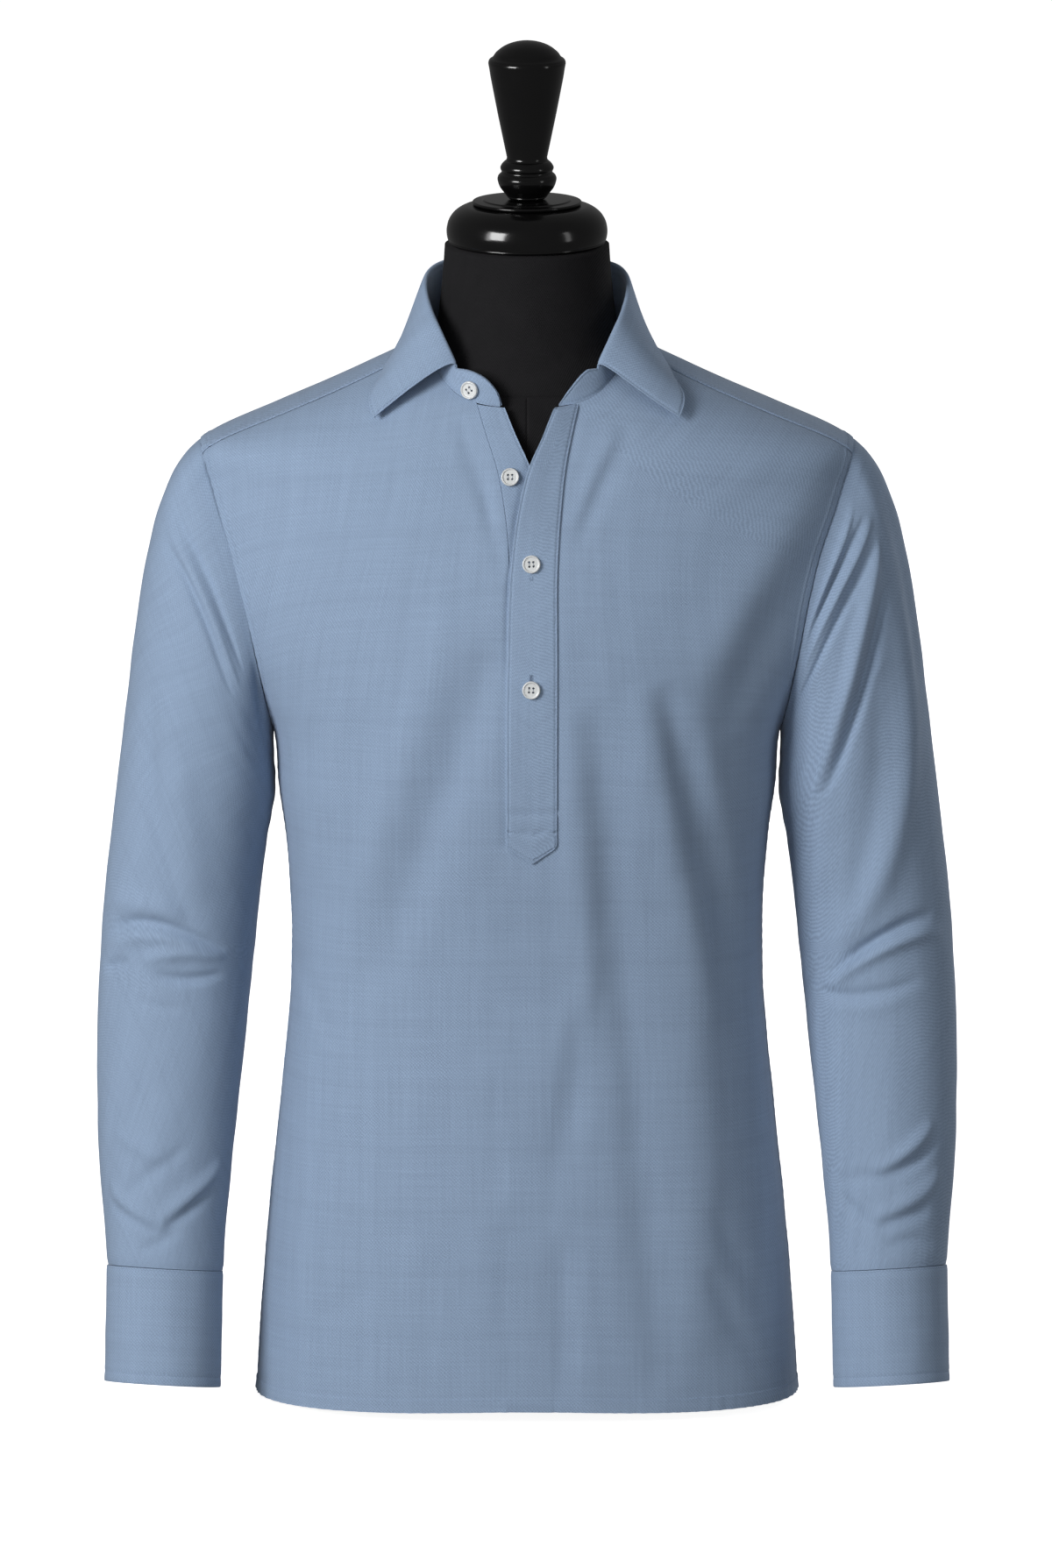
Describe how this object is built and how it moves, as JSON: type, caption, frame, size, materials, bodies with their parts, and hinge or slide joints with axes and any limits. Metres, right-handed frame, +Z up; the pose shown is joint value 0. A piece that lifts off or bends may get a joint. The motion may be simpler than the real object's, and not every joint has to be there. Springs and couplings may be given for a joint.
{
  "type": "oxford shirt on a limbless dress form",
  "caption": "Long-sleeved popover shirt with a half placket, turn-down collar and barrel cuffs, worn by a limbless dress form with a turned neck cap and finial.",
  "frame": {"origin": "middle of the form's flat base, on the floor, under the neck's axis", "axes": "+Z up, -Y the way the front faces, +X towards the wearer's left sleeve"},
  "size_m": [0.5998, 0.2477, 0.96],
  "materials": {
    "oxford_cloth": "blue and white basket-weave cotton, matte",
    "button": "white, four holes, satin",
    "form_cloth": "black twill cover, matte",
    "black_gloss": "black gloss lacquer"
  },
  "bodies": {
    "root": {"back": "oxford_cloth", "button_1": "button", "button_2": "button", "button_3": "button", "button_4": "button", "cap_disc": "black_gloss", "collar_band": "oxford_cloth", "collar_leaf": "oxford_cloth", "cuff_button_left": "button", "cuff_button_right": "button", "cuff_left": "oxford_cloth", "cuff_right": "oxford_cloth", "finial": "black_gloss", "form_body": "form_cloth", "front": "oxford_cloth", "neck_cap": "black_gloss", "placket_over": "oxford_cloth", "placket_under": "oxford_cloth", "sleeve_left": "oxford_cloth", "sleeve_placket_left": "oxford_cloth", "sleeve_placket_right": "oxford_cloth", "sleeve_right": "oxford_cloth", "yoke": "oxford_cloth"}
  },
  "joints": []
}
